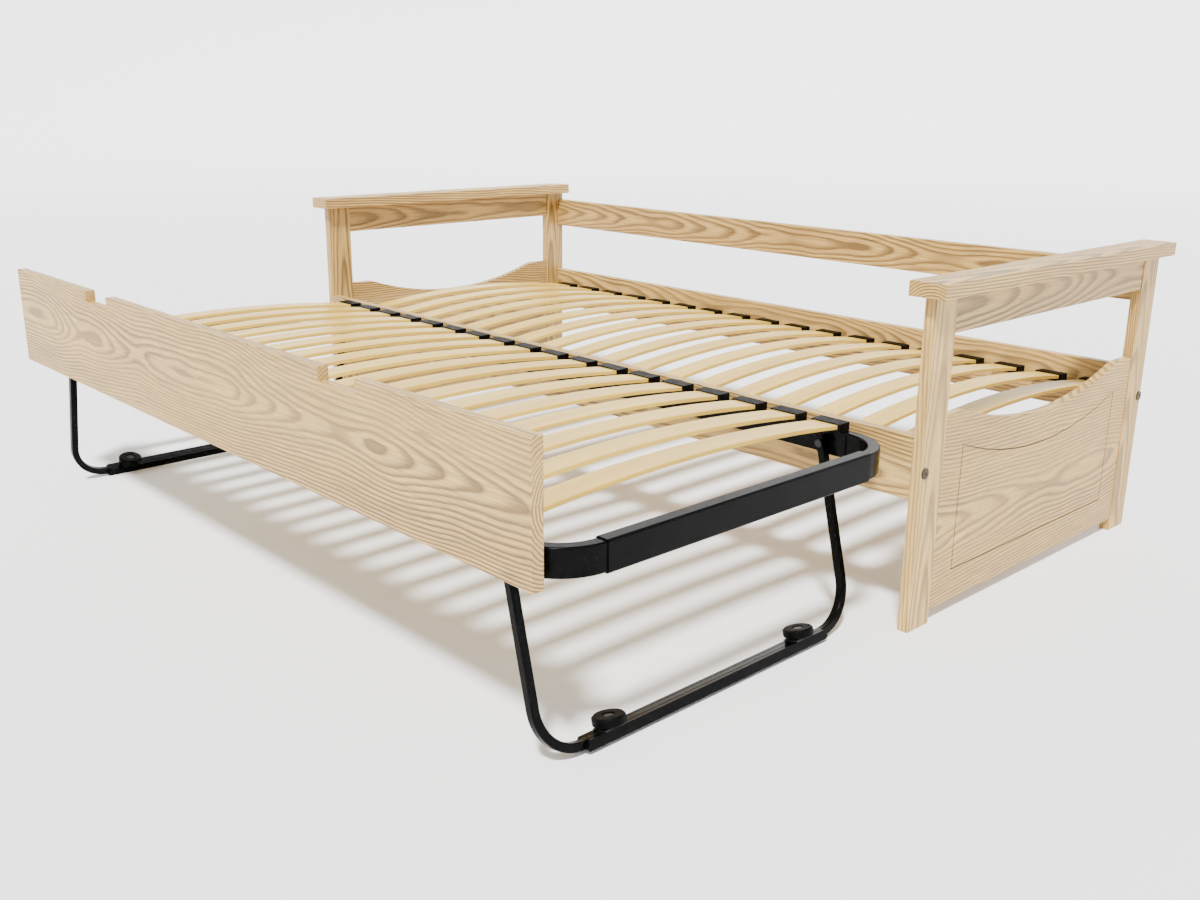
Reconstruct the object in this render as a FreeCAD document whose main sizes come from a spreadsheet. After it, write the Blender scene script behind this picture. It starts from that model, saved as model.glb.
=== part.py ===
import FreeCAD, Part
import math
import os
import re
import Sketcher

# Trundle bed: a wooden day bed with a lower bed that rolls out from under it on folding legs.
# Frame: X along the bed, Y from the pulled-out trundle towards the back rail, Z up from the floor.
# The origin lies on the floor under the middle of the whole bed, with the trundle pulled out.

SIZES = {
    # day bed, outside
    "bed_length": 1970,
    "bed_depth": 874,
    "front_y": -16,
    # timber
    "post_thick": 22,
    "post_width": 68,
    "post_height": 616,
    "cap_thick": 27,
    "cap_inner": 22,
    "cap_outer": 28,
    "cap_front": 20,
    "cap_back": 9,
    "rail_thick": 20,
    "rail_bottom": 252,
    "rail_height": 117,
    "top_rail_bottom": 513,
    "top_rail_height": 82,
    "end_rail_height": 70,
    "end_thick": 18,
    "end_recess": 2,
    "panel_bottom": 26,
    "panel_top": 398,
    "panel_dip": 52,
    "panel_tab": 57,
    "panel_blend": 60,
    "edge_ease": 1.2,
    # line routed into the outer face of each end panel
    "line_side": 67,
    "line_bottom": 61,
    "line_drop": 64,
    "line_width": 2.4,
    "line_depth": 4,
    # ledgers that carry the day bed's slats
    "ledger_width": 30,
    "ledger_height": 30,
    "ledger_top": 312,
    "ledger_gap": 20,
    # slats and the plastic caps on their ends
    "slat_count": 18,
    "slat_width": 53,
    "slat_thick": 8,
    "slat_inset": 5,
    "slat_floor": 1.6,
    "cap_width": 63,
    "cap_length": 30,
    "cap_height": 16,
    "cap_lip": 12,
    "cap_slot": 8.8,
    "cap_wall": 4,
    "cap_gap": 1,
    "bed_slat_pitch": 105.5,
    "bed_slat_bow": 34,
    "trundle_slat_pitch": 95.5,
    "trundle_slat_bow": 25,
    # bolts, barrel nuts, dowels and screws
    "bolt_height": 304,
    "bolt_head": 20,
    "bolt_head_thick": 2.5,
    "bolt_shank": 6,
    "bolt_reach": 70,
    "barrel_nut": 10,
    "barrel_length": 14,
    "dowel": 8,
    "dowel_length": 36,
    "dowel_in_post": 12,
    "dowel_spread": 34,
    "hole_clearance": 0.2,
    "screw_head": 8,
    "screw_shank": 4,
    "screw_length": 30,
    # trundle board
    "board_length": 1884,
    "board_thick": 21,
    "board_bottom": 310,
    "board_height": 216,
    "board_bolt_pitch": 520,
    "notch_centre": 473,
    "notch_width": 108,
    "notch_depth": 24,
    # trundle frame of flat steel tube
    "trundle_gap": 22,
    "trundle_depth": 808,
    "frame_half": 958,
    "tube_thick": 22,
    "tube_height": 46,
    "tube_bottom": 313,
    "tube_wall": 1.5,
    "tube_round": 3,
    "frame_corner": 100,
    "sleeve_wall": 2,
    "sleeve_start": 100,
    "rail_return": 150,
    # folding legs
    "pivot_x": 811,
    "pivot_height": 336,
    "leg_splay": 14,
    "arm_half": 368,
    "leg_tube": 15,
    "leg_round": 2,
    "leg_wall": 1.2,
    "leg_bend": 80,
    "arm_end": 13,
    "pin": 8,
    "pin_clearance": 0.1,
    "pin_head": 14,
    "pin_head_thick": 3,
    "bracket_thick": 3,
    "bracket_width": 62,
    "foot_width": 30,
    "foot_height": 17,
    "foot_wall": 2,
    "foot_half": 287,
    "foot_chamfer": 9,
    # wheels on the legs
    "wheel": 54,
    "wheel_thick": 16,
    "wheel_round": 3,
    "wheel_bore": 10.15,
    "wheel_sink": 20,
    "wheel_sink_depth": 4.5,
    "wheel_spread": 230,
    "axle": 10,
    "axle_plate": 2,
    "axle_plate_length": 44,
    "wheel_lift": 1.5,
    "axle_head": 16,
    "axle_head_thick": 2.5,
}

SIDES = {"right": 1, "left": -1}
UP = FreeCAD.Vector(0, 0, 1)

document = FreeCAD.newDocument("TrundleBed")
sheet = document.addObject("Spreadsheet::Sheet", "Sizes")
for row, (alias, value) in enumerate(SIZES.items(), start=1):
    sheet.set(f"A{row}", alias)
    sheet.set(f"B{row}", str(value))
    sheet.setAlias(f"B{row}", alias)
document.recompute()

parts = []


def formula(text):
    """Turn a formula in the sheet's words into an expression."""
    return re.sub(r"[a-z_]{3,}", lambda word: f"Sizes.{word[0]}" if word[0] in SIZES else word[0], str(text))


def number(text):
    """Work a formula out from the sheet's cells."""
    value = sheet.evalExpression(formula(text))
    return float(getattr(value, "Value", value))


def bind(item, prop, text):
    item.setExpression(prop, formula(text))


def place(item, corner):
    """Bind where a sub-part's own origin stands."""
    for axis, text in zip("xyz", corner):
        bind(item, f"Placement.Base.{axis}", text)


def new_body(label):
    body = document.addObject("PartDesign::Body", label)
    body.Label = label
    body.AllowCompound = True
    parts.append(body)
    return body


def new_sketch(body, plane, name, offset="0"):
    """A sketch on one of the body's origin planes, moved along its normal."""
    sketch = body.newObject("Sketcher::SketchObject", f"{body.Name}_{name}")
    origin_plane = [item for item in body.Origin.OriginFeatures if item.Role == plane][0]
    sketch.AttachmentSupport = [(origin_plane, "")]
    sketch.MapMode = "FlatFace"
    bind(sketch, "AttachmentOffset.Base.z", offset)
    return sketch


def constrain(sketch, kind, *where, size=None):
    """Add a constraint; a size is a formula that it stays bound to."""
    if size is None:
        return sketch.addConstraint(Sketcher.Constraint(kind, *where))
    index = sketch.addConstraint(Sketcher.Constraint(kind, *where, number(size)))
    name = f"size{index}"
    sketch.renameConstraint(index, name)
    bind(sketch, f"Constraints.{name}", size)
    return index


def vector(x, y):
    return FreeCAD.Vector(x, y, 0)


def polygon(sketch, corners):
    """A closed outline through corners given as pairs of formulas, each bound to the sketch's origin."""
    points = [vector(number(x), number(y)) for x, y in corners]
    lines = [
        sketch.addGeometry(Part.LineSegment(start, end))
        for start, end in zip(points, points[1:] + points[:1])
    ]
    for line, following in zip(lines, lines[1:] + lines[:1]):
        constrain(sketch, "Coincident", line, 2, following, 1)
    for line, (x, y) in zip(lines, corners):
        pin_point(sketch, line, 1, x, y)


def pin_point(sketch, geometry, end, x, y):
    """Hold one point of a sketch at x, y."""
    for kind, text, axis in (("DistanceX", x, -2), ("DistanceY", y, -1)):
        if abs(number(text)) < 1e-9:
            constrain(sketch, "PointOnObject", geometry, end, axis)
        else:
            constrain(sketch, kind, -1, 1, geometry, end, size=text)


def rectangle(sketch, width, height, x="0", y="0"):
    polygon(
        sketch,
        [(x, y), (f"{x} + {width}", y), (f"{x} + {width}", f"{y} + {height}"), (x, f"{y} + {height}")],
    )


def circles(sketch, diameter, centres):
    for x, y in centres:
        ring = sketch.addGeometry(Part.Circle(vector(number(x), number(y)), UP, number(diameter) / 2))
        constrain(sketch, "Diameter", ring, size=diameter)
        pin_point(sketch, ring, 3, x, y)


def rounded_rectangle(sketch, width, height, radius):
    """A rectangle with round corners, centred on the sketch's origin."""
    half_w, half_h, bend = number(width) / 2, number(height) / 2, number(radius)
    sides = [
        ((bend - half_w, -half_h), (half_w - bend, -half_h)),
        ((half_w, bend - half_h), (half_w, half_h - bend)),
        ((half_w - bend, half_h), (bend - half_w, half_h)),
        ((-half_w, half_h - bend), (-half_w, bend - half_h)),
    ]
    lines = [sketch.addGeometry(Part.LineSegment(vector(*start), vector(*end))) for start, end in sides]
    centres = [(half_w - bend, bend - half_h), (half_w - bend, half_h - bend),
               (bend - half_w, half_h - bend), (bend - half_w, bend - half_h)]
    arcs = []
    for quarter, centre in enumerate(centres):
        circle = Part.Circle(vector(*centre), UP, bend)
        start = (quarter - 1) * math.pi / 2
        arcs.append(sketch.addGeometry(Part.ArcOfCircle(circle, start, start + math.pi / 2)))
    for index, arc in enumerate(arcs):
        constrain(sketch, "Tangent", lines[index], 2, arc, 1)
        constrain(sketch, "Tangent", arc, 2, lines[(index + 1) % 4], 1)
    for index, arc in enumerate(arcs[1:], start=1):
        constrain(sketch, "Equal", arcs[0], arc)
    for line, kind in zip(lines, ("Horizontal", "Vertical", "Horizontal", "Vertical")):
        constrain(sketch, kind, line)
    constrain(sketch, "Radius", arcs[0], size=radius)
    constrain(sketch, "DistanceX", -1, 1, lines[1], 1, size=f"({width}) / 2")
    constrain(sketch, "DistanceX", lines[3], 1, -1, 1, size=f"({width}) / 2")
    constrain(sketch, "DistanceY", -1, 1, lines[2], 1, size=f"({height}) / 2")
    constrain(sketch, "DistanceY", lines[0], 1, -1, 1, size=f"({height}) / 2")


def pad(body, sketch, length, name="pad", midplane=False, backwards=False):
    feature = body.newObject("PartDesign::Pad", f"{body.Name}_{name}")
    feature.Profile = sketch
    bind(feature, "Length", length)
    feature.Midplane = midplane
    feature.Reversed = backwards
    sketch.Visibility = False
    return feature


def pocket(body, sketch, depth, name="pocket", midplane=False, backwards=False):
    """Cut a sketch into the body; the depth runs against the sketch's normal unless backwards."""
    feature = body.newObject("PartDesign::Pocket", f"{body.Name}_{name}")
    feature.Profile = sketch
    bind(feature, "Length", depth)
    feature.Midplane = midplane
    feature.Reversed = backwards
    sketch.Visibility = False
    return feature


def ease_edges(body, radius="edge_ease"):
    """Round every edge of the body as it stands."""
    document.recompute()
    base = body.Tip
    feature = body.newObject("PartDesign::Fillet", f"{body.Name}_ease")
    feature.Base = (base, [""])
    feature.UseAllEdges = True
    bind(feature, "Radius", radius)
    return feature


def plank(label, length, width, height, corner):
    """A squared board with eased edges and its own origin at its lowest corner."""
    body = new_body(label)
    sketch = new_sketch(body, "XY_Plane", "outline")
    rectangle(sketch, length, width)
    pad(body, sketch, height)
    ease_edges(body)
    place(body, corner)
    return body


def bore(body, plane, offset, centres, diameter, depth, name, backwards=False):
    """Blind or through holes, all square to one of the body's origin planes."""
    sketch = new_sketch(body, plane, f"{name}_circles", offset)
    circles(sketch, diameter, centres)
    return pocket(body, sketch, depth, name, backwards=backwards)


AXIS_TURNS = {
    "x": ((0, 1, 0), 90),
    "-x": ((0, 1, 0), -90),
    "y": ((1, 0, 0), -90),
    "-y": ((1, 0, 0), 90),
    "z": ((0, 0, 1), 0),
}


def cylinder(name, diameter, length, base, axis):
    """A round pin from a base point along one of the row's axes."""
    item = document.addObject("Part::Cylinder", name)
    bind(item, "Radius", f"({diameter}) / 2")
    bind(item, "Height", length)
    direction, angle = AXIS_TURNS[axis]
    item.Placement = FreeCAD.Placement(FreeCAD.Vector(), FreeCAD.Rotation(FreeCAD.Vector(*direction), angle))
    place(item, base)
    return item


def group(label, items):
    """Several solids of one kind in one sub-part."""
    item = document.addObject("Part::Compound", label)
    item.Label = label
    item.Links = items
    parts.append(item)
    return item


def fuse(name, items):
    item = document.addObject("Part::MultiFuse", name)
    item.Shapes = items
    return item


# ---------------------------------------------------------------- day bed

RAIL_CENTRES = {"front": "rail_thick / 2", "back": "bed_depth - rail_thick / 2"}
DOWEL_HOLE = "dowel + hole_clearance"
END_ROWS = {
    "top": ("post_height - end_rail_height / 2 - 20", "post_height - end_rail_height / 2 + 15"),
    "panel": ("panel_bottom + 70", "panel_top - 60"),
}


def post(side, row):
    """One flat post, bored for the bed bolt, the rail dowels and the end frame's dowels."""
    left = side == "left"
    x = "-bed_length / 2" if left else "bed_length / 2 - post_thick"
    y = "front_y" if row == "front" else "front_y + bed_depth - post_width"
    body = plank(f"post_{row}_{side}", "post_thick", "post_width", "post_height", (x, y, "0"))
    local = "rail_thick / 2" if row == "front" else "post_width - rail_thick / 2"
    bore(body, "YZ_Plane", "0", [(local, "bolt_height")], "bolt_shank + 1", "post_thick", "bolt_hole", True)
    inner = "post_thick" if left else "0"
    heights = ["bolt_height + dowel_spread", "bolt_height - dowel_spread"]
    if row == "back":
        heights += ["top_rail_bottom + 20", "top_rail_bottom + top_rail_height - 20"]
    bore(body, "YZ_Plane", inner, [(local, height) for height in heights], DOWEL_HOLE, "dowel_in_post",
         "rail_dowel_holes", not left)
    edge = "post_width" if row == "front" else "0"
    local_x = "end_recess + end_thick / 2" if left else "post_thick - end_recess - end_thick / 2"
    heights = [height for pair in END_ROWS.values() for height in pair]
    bore(body, "XZ_Plane", f"-({edge})", [(local_x, height) for height in heights], DOWEL_HOLE,
         "dowel_length / 2", "end_dowel_holes", row == "front")
    return body


def armrest_cap(side):
    left = side == "left"
    x = "-bed_length / 2 - cap_outer" if left else "bed_length / 2 - post_thick - cap_inner"
    plank(f"armrest_cap_{side}", "cap_inner + post_thick + cap_outer", "cap_front + bed_depth + cap_back",
          "cap_thick", (x, "front_y - cap_front", "post_height"))


def end_board_x(side):
    return "-bed_length / 2 + end_recess" if side == "left" else "bed_length / 2 - end_recess - end_thick"


def end_dowel_bores(body, heights, length):
    """Dowel holes in both ends of a board that spans between two posts."""
    centres = [("end_thick / 2", height) for height in heights]
    bore(body, "XZ_Plane", "0", centres, DOWEL_HOLE, "dowel_length / 2", "front_dowel_holes", False)
    bore(body, "XZ_Plane", f"-({length})", centres, DOWEL_HOLE, "dowel_length / 2", "back_dowel_holes", True)


def end_top_rail(side):
    span = "bed_depth - 2 * post_width"
    body = plank(f"end_top_rail_{side}", "end_thick", span, "end_rail_height",
                 (end_board_x(side), "front_y + post_width", "post_height - end_rail_height"))
    heights = [f"{height} - post_height + end_rail_height" for height in END_ROWS["top"]]
    end_dowel_bores(body, heights, span)


def scalloped_outline(sketch, half, low, top, dip, tab, blend):
    """A board's outline: straight sides, a tab at each end of the top and a shallow dip between."""
    bend = number(blend)
    run = number(f"({half}) - ({tab})")
    drop = number(dip)
    sweep = (run * run + drop * drop) / (2 * drop) - bend
    top_z, low_z, half_y = number(top), number(low), number(half)
    dip_z = top_z - drop
    turn = math.asin(run / (sweep + bend))
    corners = [(-half_y, top_z), (-half_y, low_z), (half_y, low_z), (half_y, top_z)]
    outline = [Part.LineSegment(vector(-run, top_z), vector(*corners[0]))]
    outline += [Part.LineSegment(vector(*start), vector(*end)) for start, end in zip(corners, corners[1:])]
    outline.append(Part.LineSegment(vector(*corners[3]), vector(run, top_z)))
    right = Part.Circle(vector(run, top_z - bend), UP, bend)
    outline.append(Part.ArcOfCircle(right, math.pi / 2, math.pi / 2 + turn))
    middle = Part.Circle(vector(0, dip_z + sweep), UP, sweep)
    outline.append(Part.ArcOfCircle(middle, 1.5 * math.pi - turn, 1.5 * math.pi + turn))
    left = Part.Circle(vector(-run, top_z - bend), UP, bend)
    outline.append(Part.ArcOfCircle(left, math.pi / 2 - turn, math.pi / 2))
    straight = range(5)
    tab_left, side_left, bottom, side_right, tab_right = straight
    curve_right, curve, curve_left = (5, 6, 7)
    sketch.addGeometry(outline, False)
    for line, following in zip(straight, straight[1:]):
        constrain(sketch, "Coincident", line, 2, following, 1)
    constrain(sketch, "Tangent", tab_right, 2, curve_right, 1)
    constrain(sketch, "Tangent", curve_right, 2, curve, 2)
    constrain(sketch, "Tangent", curve, 1, curve_left, 1)
    constrain(sketch, "Tangent", curve_left, 2, tab_left, 1)
    constrain(sketch, "Vertical", side_left)
    constrain(sketch, "Vertical", side_right)
    constrain(sketch, "Horizontal", bottom)
    constrain(sketch, "Horizontal", tab_right)
    constrain(sketch, "Horizontal", tab_left)
    constrain(sketch, "DistanceX", -1, 1, bottom, 2, size=half)
    constrain(sketch, "DistanceX", bottom, 1, -1, 1, size=half)
    constrain(sketch, "DistanceY", -1, 1, bottom, 2, size=low)
    constrain(sketch, "DistanceY", -1, 1, side_right, 2, size=top)
    constrain(sketch, "DistanceX", -1, 1, tab_right, 2, size=f"({half}) - ({tab})")
    constrain(sketch, "Radius", curve_right, size=blend)
    constrain(sketch, "Equal", curve_right, curve_left)
    constrain(sketch, "DistanceX", tab_left, 1, -1, 1, size=f"({half}) - ({tab})")
    constrain(sketch, "DistanceY", -1, 1, curve, 3, size=f"(({half} - {tab})^2 + ({dip})^2) / (2 * ({dip}))"
                                                         f" - ({blend}) + ({top}) - ({dip})")


def dished_frame(sketch, half, low, top, dip):
    """A straight-sided outline with a hollow arc along its top."""
    half_y, low_z, top_z, drop = number(half), number(low), number(top), number(dip)
    sweep = (half_y * half_y + drop * drop) / (2 * drop)
    turn = math.asin(half_y / sweep)
    corners = [(-half_y, top_z), (-half_y, low_z), (half_y, low_z), (half_y, top_z)]
    outline = [Part.LineSegment(vector(*start), vector(*end)) for start, end in zip(corners, corners[1:])]
    circle = Part.Circle(vector(0, top_z - drop + sweep), UP, sweep)
    outline.append(Part.ArcOfCircle(circle, 1.5 * math.pi - turn, 1.5 * math.pi + turn))
    first = sketch.addGeometry(outline, False)[0]
    left, bottom, right, arc = range(first, first + 4)
    constrain(sketch, "Coincident", left, 2, bottom, 1)
    constrain(sketch, "Coincident", bottom, 2, right, 1)
    constrain(sketch, "Coincident", right, 2, arc, 2)
    constrain(sketch, "Coincident", arc, 1, left, 1)
    constrain(sketch, "Vertical", left)
    constrain(sketch, "Vertical", right)
    constrain(sketch, "Horizontal", bottom)
    constrain(sketch, "DistanceX", -1, 1, bottom, 2, size=half)
    constrain(sketch, "DistanceX", bottom, 1, -1, 1, size=half)
    constrain(sketch, "DistanceY", -1, 1, bottom, 2, size=low)
    constrain(sketch, "DistanceY", -1, 1, right, 2, size=top)
    constrain(sketch, "DistanceY", -1, 1, left, 1, size=top)
    constrain(sketch, "Radius", arc, size=f"(({half})^2 + ({dip})^2) / (2 * ({dip}))")


def end_panel(side):
    """A scalloped board between two posts, with a line routed round its outer face."""
    half = "(bed_depth - 2 * post_width) / 2"
    body = new_body(f"end_panel_{side}")
    outline = new_sketch(body, "YZ_Plane", "outline")
    scalloped_outline(outline, half, "panel_bottom", "panel_top", "panel_dip", "panel_tab", "panel_blend")
    pad(body, outline, "end_thick")
    ease_edges(body)
    face = "0" if side == "left" else "end_thick"
    line = new_sketch(body, "YZ_Plane", "line", face)
    line_half = f"{half} - line_side"
    line_top = "panel_top - line_drop"
    dished_frame(line, line_half, "panel_bottom + line_bottom", line_top, "panel_dip")
    dished_frame(line, f"{line_half} - line_width", "panel_bottom + line_bottom + line_width",
                 f"{line_top} - line_width", "panel_dip")
    pocket(body, line, "line_depth", "routed_line", backwards=side == "left")
    centres = [height for height in END_ROWS["panel"]]
    for name, offset, backwards in (("front", half, False), ("back", f"-({half})", True)):
        bore(body, "XZ_Plane", offset, [("end_thick / 2", height) for height in centres], DOWEL_HOLE,
             "dowel_length / 2", f"{name}_dowel_holes", backwards)
    place(body, (end_board_x(side), "front_y + bed_depth / 2", "0"))


def long_rail(label, y, z, height, bolted):
    """A rail between the end frames, bored for its dowels and, where bolted, for its bed bolts."""
    length = "bed_length - 2 * post_thick"
    body = plank(label, length, "rail_thick", height, ("-bed_length / 2 + post_thick", y, z))
    if bolted:
        heights = [f"bolt_height - ({z}) + dowel_spread", f"bolt_height - ({z}) - dowel_spread"]
        axis = [("rail_thick / 2", f"bolt_height - ({z})")]
        bore(body, "YZ_Plane", "0", axis, "bolt_shank + 1", "bolt_reach", "bolt_hole_left", True)
        bore(body, "YZ_Plane", length, axis, "bolt_shank + 1", "bolt_reach", "bolt_hole_right")
        reach = "bolt_reach - post_thick - barrel_nut"
        nuts = [(reach, f"bolt_height - ({z})"), (f"{length} - ({reach})", f"bolt_height - ({z})")]
        inside = "0" if "back" in label else "-rail_thick"
        bore(body, "XZ_Plane", inside, nuts, "barrel_nut + hole_clearance", "barrel_length + 1", "nut_holes",
             "back" not in label)
    else:
        heights = ["20", f"({height}) - 20"]
    centres = [("rail_thick / 2", text) for text in heights]
    depth = "dowel_length - dowel_in_post"
    bore(body, "YZ_Plane", "0", centres, DOWEL_HOLE, depth, "dowel_holes_left", True)
    bore(body, "YZ_Plane", length, centres, DOWEL_HOLE, depth, "dowel_holes_right")


def ledger(row):
    """The batten inside a rail that the slat caps sit on."""
    y = "front_y + rail_thick" if row == "front" else "front_y + bed_depth - rail_thick - ledger_width"
    length = "bed_length - 2 * post_thick - 2 * ledger_gap"
    plank(f"slat_ledger_{row}", length, "ledger_width", "ledger_height",
          ("-bed_length / 2 + post_thick + ledger_gap", y, "ledger_top - ledger_height"))


def slope_of(bow, chord):
    """The slope of a bowed slat at its end."""
    return f"(2 * {bow} * ({chord}) / (({chord})^2 / 2 - 2 * {bow}^2))"


def slats(label, pitch, bow, start, chord, seat):
    """A row of bowed slats: one profile along Y, repeated along X."""
    radius = f"((({chord}) / 2)^2 + {bow}^2) / (2 * {bow})"
    body = new_body(label)
    sketch = new_sketch(body, "YZ_Plane", "profile", f"-slat_width / 2 - {pitch} * (slat_count - 1) / 2")
    span, rise, sweep, thick = number(chord), number(bow), number(radius), number("slat_thick")
    centre = vector(span / 2, rise - sweep)
    turn = math.asin(span / 2 / sweep)
    top_turn = math.asin(span / 2 / (sweep + thick))
    upright = math.pi / 2
    under, over = (
        sketch.addGeometry(Part.ArcOfCircle(Part.Circle(centre, UP, bend), upright - half, upright + half))
        for bend, half in ((sweep, turn), (sweep + thick, top_turn))
    )
    top_z = rise - sweep + (sweep + thick) * math.cos(top_turn)
    first = sketch.addGeometry(Part.LineSegment(vector(0, 0), vector(0, top_z)))
    last = sketch.addGeometry(Part.LineSegment(vector(span, 0), vector(span, top_z)))
    constrain(sketch, "Coincident", under, 2, first, 1)
    constrain(sketch, "Coincident", over, 2, first, 2)
    constrain(sketch, "Coincident", under, 1, last, 1)
    constrain(sketch, "Coincident", over, 1, last, 2)
    constrain(sketch, "Coincident", under, 3, over, 3)
    constrain(sketch, "Coincident", first, 1, -1, 1)
    constrain(sketch, "PointOnObject", last, 1, -1)
    constrain(sketch, "Vertical", first)
    constrain(sketch, "Vertical", last)
    constrain(sketch, "DistanceX", -1, 1, last, 1, size=chord)
    constrain(sketch, "Radius", under, size=radius)
    constrain(sketch, "Radius", over, size=f"{radius} + slat_thick")
    pad(body, sketch, "slat_width")
    ease_edges(body)
    repeat_along_x(body, pitch)
    place(body, ("0", start, seat))


def repeat_along_x(body, pitch):
    """Repeat everything in the body along X at the slats' pitch."""
    document.recompute()
    pattern = body.newObject("PartDesign::LinearPattern", f"{body.Name}_row")
    pattern.TransformMode = "Whole shape"
    axis = [item for item in body.Origin.OriginFeatures if item.Role == "X_Axis"][0]
    pattern.Direction = (axis, [""])
    pattern.Mode = "Spacing"
    bind(pattern, "Offset", pitch)
    bind(pattern, "Occurrences", "slat_count")
    body.Tip = pattern


def slat_caps(label, pitch, bow, chord, edge, seat, inward):
    """Plastic holders on one rail: a sloping block with a slot that a slat's end slides into."""
    slope = slope_of(bow, chord)
    body = new_body(label)
    sketch = new_sketch(body, "YZ_Plane", "profile", f"-cap_width / 2 - {pitch} * (slat_count - 1) / 2")
    way = "" if inward > 0 else "-"
    inner_top = f"cap_lip + cap_length * ({slope})"
    inner = f"{way}cap_length"
    polygon(sketch, [("0", "0"), (inner, "0"), (inner, inner_top), ("0", "cap_height")])
    pad(body, sketch, "cap_width")
    slot = new_sketch(body, "YZ_Plane", "slot", f"-slat_width / 2 - 0.2 - {pitch} * (slat_count - 1) / 2")
    far = "cap_length + 1"
    low = "slat_floor - 0.4"
    polygon(slot, [
        (f"{way}cap_wall", f"{low} + cap_wall * ({slope})"),
        (f"{way}({far})", f"{low} + ({far}) * ({slope})"),
        (f"{way}({far})", f"{low} + cap_slot + ({far}) * ({slope})"),
        (f"{way}cap_wall", f"{low} + cap_slot + cap_wall * ({slope})"),
    ])
    pocket(body, slot, "slat_width + 0.4", "slot", backwards=True)
    repeat_along_x(body, pitch)
    place(body, ("0", edge, seat))


def bed_bolts():
    """Four bolts through the posts into the rails, and the barrel nuts that they screw into."""
    bolts = []
    nuts = []
    for side, sign in SIDES.items():
        inwards = "-x" if sign > 0 else "x"
        face = f"{sign} * bed_length / 2"
        for row, local in RAIL_CENTRES.items():
            name = f"{row}_{side}"
            y = f"front_y + {local}"
            head = cylinder(f"bolt_head_{name}", "bolt_head", "bolt_head_thick",
                            (f"{face} + {sign} * bolt_head_thick", y, "bolt_height"), inwards)
            socket = cylinder(f"bolt_socket_{name}", "bolt_shank", "bolt_head_thick - 1",
                              (f"{face} + {sign} * bolt_head_thick", y, "bolt_height"), inwards)
            shank = cylinder(f"bolt_shank_{name}", "bolt_shank", "bolt_reach - 4",
                             (face, y, "bolt_height"), inwards)
            drilled = document.addObject("Part::Cut", f"bolt_head_cut_{name}")
            drilled.Base = head
            drilled.Tool = socket
            bolts.append(fuse(f"bolt_{name}", [drilled, shank]))
            inside = "front_y + rail_thick" if row == "front" else "front_y + bed_depth - rail_thick"
            reach = "bolt_reach - barrel_nut"
            nut_axis = "-y" if row == "front" else "y"
            nut = cylinder(f"nut_blank_{name}", "barrel_nut", "barrel_length",
                           (f"{face} - {sign} * ({reach})", inside, "bolt_height"), nut_axis)
            way = cylinder(f"nut_way_{name}", "bolt_shank + 0.1", "bolt_reach + 2",
                           (face, y, "bolt_height"), inwards)
            threaded = document.addObject("Part::Cut", f"nut_{name}")
            threaded.Base = nut
            threaded.Tool = way
            nuts.append(threaded)
    group("bed_bolts", bolts)
    group("barrel_nuts", nuts)


def dowels():
    """Dowels between the long rails and the posts, and inside each end frame."""
    rail_pins = []
    for side, sign in SIDES.items():
        start = f"{sign} * (bed_length / 2 - post_thick + dowel_in_post - 0.5)"
        heights = ("bolt_height + dowel_spread", "bolt_height - dowel_spread")
        rows = [(local, height) for local in RAIL_CENTRES.values() for height in heights]
        rows += [(RAIL_CENTRES["back"], "top_rail_bottom + 20"),
                 (RAIL_CENTRES["back"], "top_rail_bottom + top_rail_height - 20")]
        for index, (local, height) in enumerate(rows):
            rail_pins.append(cylinder(f"rail_dowel_{side}_{index}", "dowel", "dowel_length - 1",
                                      (start, f"front_y + {local}", height), "-x" if sign > 0 else "x"))
    group("rail_dowels", rail_pins)
    for side in SIDES:
        end_pins = []
        x = f"{end_board_x(side)} + end_thick / 2"
        for height in [text for pair in END_ROWS.values() for text in pair]:
            for row, joint in (("front", "post_width"), ("back", "bed_depth - post_width")):
                base = (x, f"front_y + {joint} - dowel_length / 2 + 0.5", height)
                name = f"end_dowel_{side}_{row}_{len(end_pins)}"
                end_pins.append(cylinder(name, "dowel", "dowel_length - 1", base, "y"))
        group(f"end_frame_dowels_{side}", end_pins)


def day_bed():
    for side in SIDES:
        for row in ("front", "back"):
            post(side, row)
        armrest_cap(side)
        end_top_rail(side)
        end_panel(side)
    back = "front_y + bed_depth - rail_thick"
    long_rail("front_rail", "front_y", "rail_bottom", "rail_height", True)
    long_rail("back_lower_rail", back, "rail_bottom", "rail_height", True)
    long_rail("back_top_rail", back, "top_rail_bottom", "top_rail_height", False)
    ledger("front")
    ledger("back")
    clear = "bed_depth - 2 * rail_thick - 2 * cap_gap"
    chord = f"{clear} - 2 * slat_inset"
    start = "front_y + rail_thick + cap_gap"
    slats("bed_slats", "bed_slat_pitch", "bed_slat_bow", f"{start} + slat_inset", chord,
          f"ledger_top + slat_floor + slat_inset * {slope_of('bed_slat_bow', chord)}")
    for row, edge, inward in (("front", start, 1), ("back", f"{start} + {clear}", -1)):
        slat_caps(f"bed_slat_caps_{row}", "bed_slat_pitch", "bed_slat_bow", chord, edge, "ledger_top", inward)
    bed_bolts()
    dowels()


# ---------------------------------------------------------------- trundle

TRUNDLE_BACK = "front_y - trundle_gap"
TRUNDLE_FRONT = "front_y - trundle_gap - trundle_depth"
TRUNDLE_MIDDLE = "front_y - trundle_gap - trundle_depth / 2"
TUBE_TOP = "tube_bottom + tube_height"
BOARD_BOLTS = [f"{step} * board_bolt_pitch" for step in (-1.5, -0.5, 0.5, 1.5)]
BOLT_HOLE = "bolt_shank + hole_clearance"


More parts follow.
